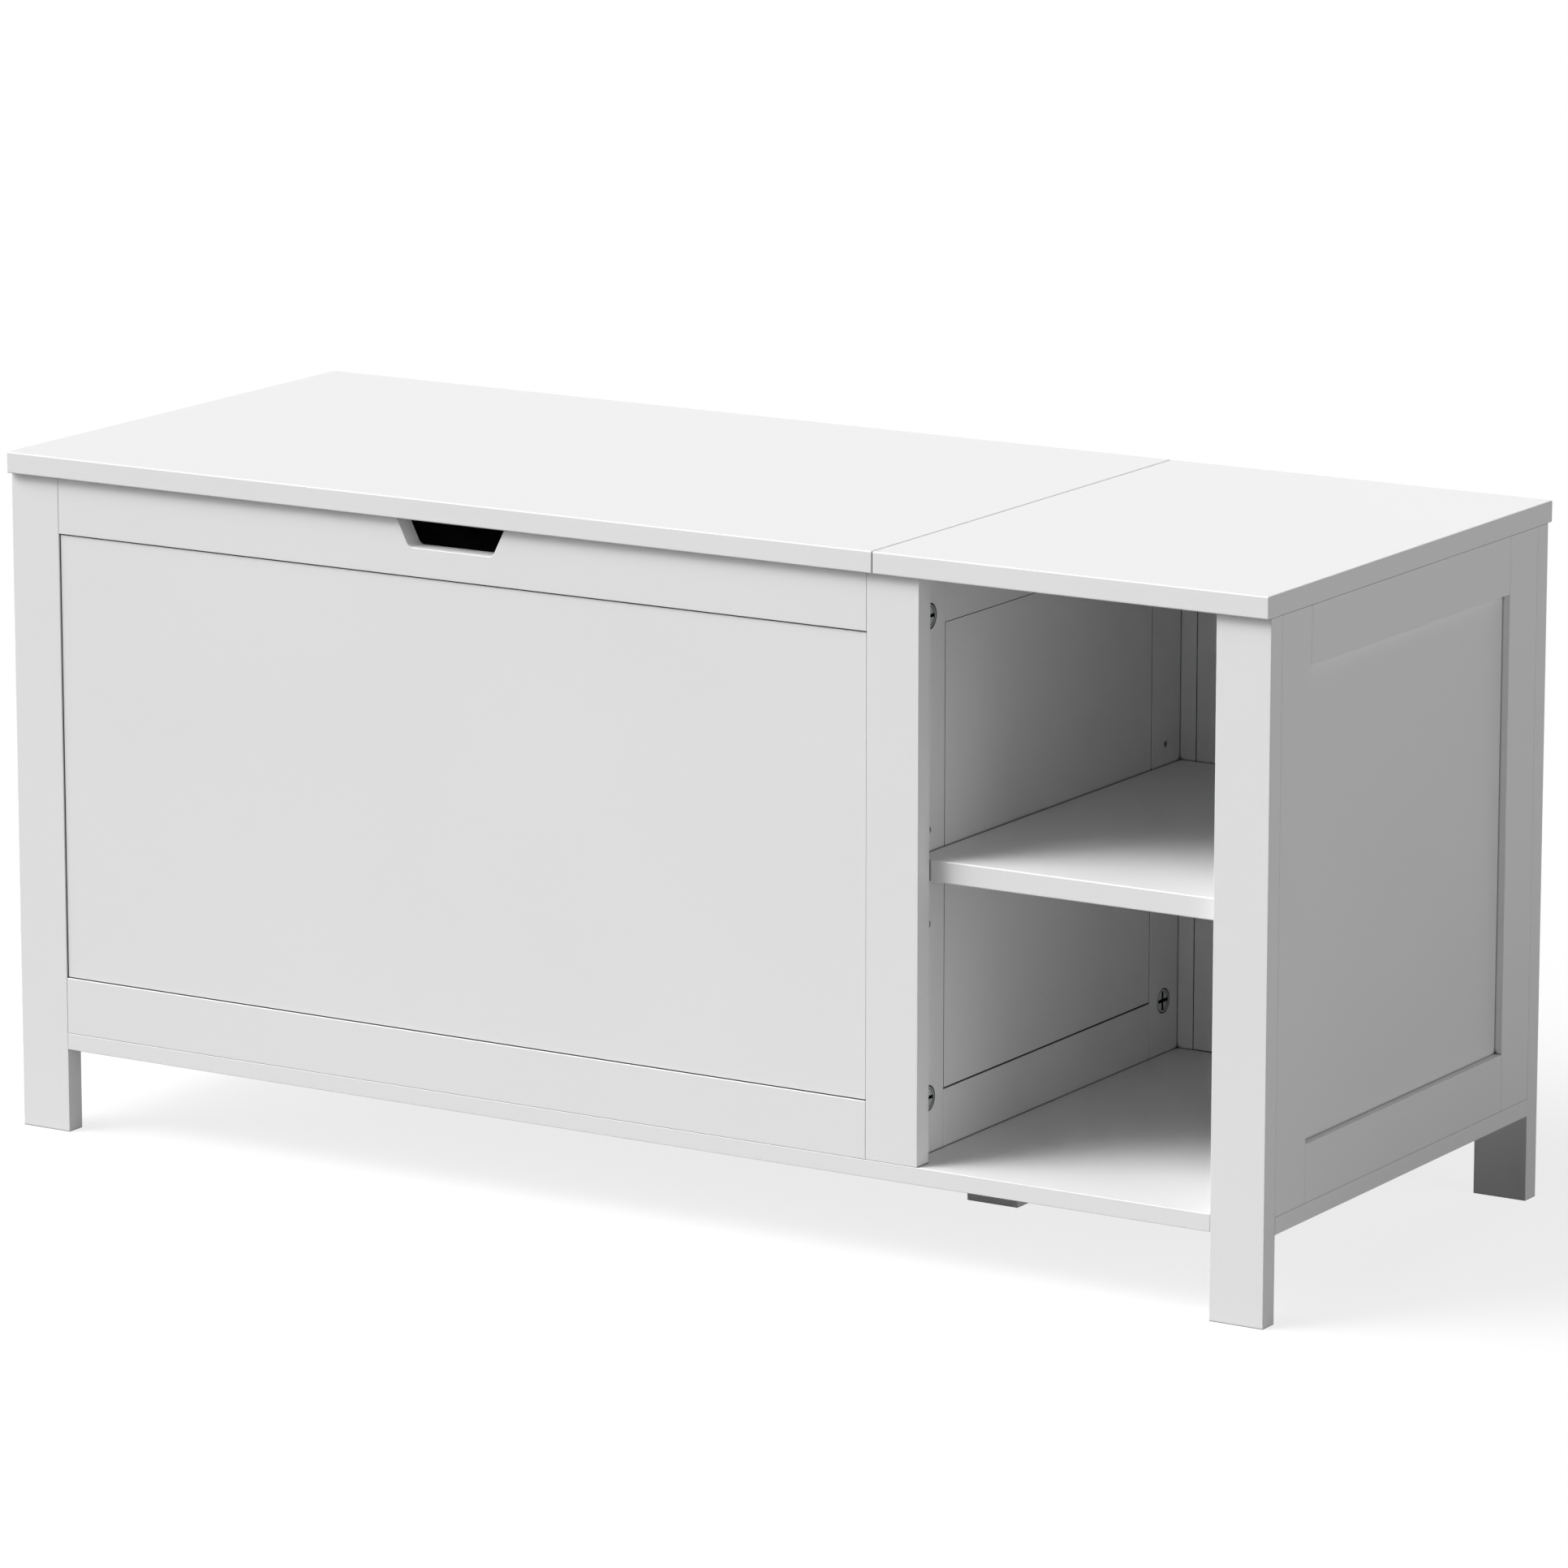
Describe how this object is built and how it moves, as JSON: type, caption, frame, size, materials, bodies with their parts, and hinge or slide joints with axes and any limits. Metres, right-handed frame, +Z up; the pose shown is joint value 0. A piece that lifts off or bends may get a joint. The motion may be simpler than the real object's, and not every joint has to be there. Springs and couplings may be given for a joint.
{
  "type": "shoe storage bench",
  "caption": "Low painted bench with a hinged seat lid over a chest and an open cubby with a shelf beside it, for sitting on and storing shoes.",
  "frame": {"origin": "on the floor, under the middle of the top", "axes": "+X along the bench towards the open cubby, +Y towards the back, +Z up"},
  "size_m": [1, 0.4, 0.485],
  "materials": {
    "white_paint": "satin",
    "beech": "matte",
    "steel": "satin",
    "zinc": "satin"
  },
  "bodies": {
    "carcass": {"back_bottom_rail": "white_paint", "back_mid_stile": "white_paint", "back_panel": "white_paint", "back_top_rail": "white_paint", "bottom_board": "white_paint", "bottom_screws": "steel", "cam_bolts": "steel", "cam_locks": "zinc", "centre_foot": "white_paint", "cubby_back_panel": "white_paint", "divider_back_stile": "white_paint", "divider_bottom_rail": "white_paint", "divider_front_stile": "white_paint", "divider_panel": "white_paint", "divider_top_rail": "white_paint", "fixed_top": "white_paint", "foot_screws": "steel", "front_bottom_rail": "white_paint", "front_mid_stile": "white_paint", "front_panel": "white_paint", "front_top_rail": "white_paint", "hinge_carcass_leaf_left": "steel", "hinge_carcass_leaf_right": "steel", "hinge_carcass_screws": "steel", "hinge_pin_left": "steel", "hinge_pin_right": "steel", "left_back_stile": "white_paint", "left_bottom_rail": "white_paint", "left_front_stile": "white_paint", "left_panel": "white_paint", "left_top_rail": "white_paint", "leg_back_left": "white_paint", "leg_back_right": "white_paint", "leg_front_left": "white_paint", "leg_front_right": "white_paint", "rail_dowels": "beech", "right_back_stile": "white_paint", "right_bottom_rail": "white_paint", "right_front_stile": "white_paint", "right_panel": "white_paint", "right_top_rail": "white_paint", "shelf": "white_paint", "shelf_pins": "steel", "stay_stud_left": "steel", "stay_stud_right": "steel", "top_dowels": "beech"},
    "lid": {"lid": "white_paint", "hinge_lid_leaf_left": "steel", "hinge_lid_leaf_right": "steel", "hinge_lid_screws": "steel", "stay_bracket_left": "steel", "stay_bracket_right": "steel", "stay_rivet_left": "steel", "stay_rivet_right": "steel", "stay_bracket_screws": "steel"},
    "stay_arm_left": {"stay_arm_left": "steel"},
    "stay_arm_right": {"stay_arm_right": "steel"}
  },
  "joints": [
    {"name": "lid_hinge", "type": "hinge", "parent": "carcass", "child": "lid", "pos_m": [-0.14758, 0.1975, 0.47], "axis": [-1, 0, 0], "range_deg": [0, 95]},
    {"name": "stay_pivot_left", "type": "hinge", "parent": "lid", "child": "stay_arm_left", "pos_m": [-0.47585, 0.06806, 0.458], "axis": [1, 0, 0], "range_deg": [0, 47.5]},
    {"name": "stay_pivot_right", "type": "hinge", "parent": "lid", "child": "stay_arm_right", "pos_m": [0.20185, 0.06806, 0.458], "axis": [1, 0, 0], "range_deg": [0, 47.5]}
  ],
  "couplings": [
    {"joint": "stay_pivot_left", "follows": "lid_hinge", "ratio": 0.5},
    {"joint": "stay_pivot_right", "follows": "lid_hinge", "ratio": 0.5}
  ]
}
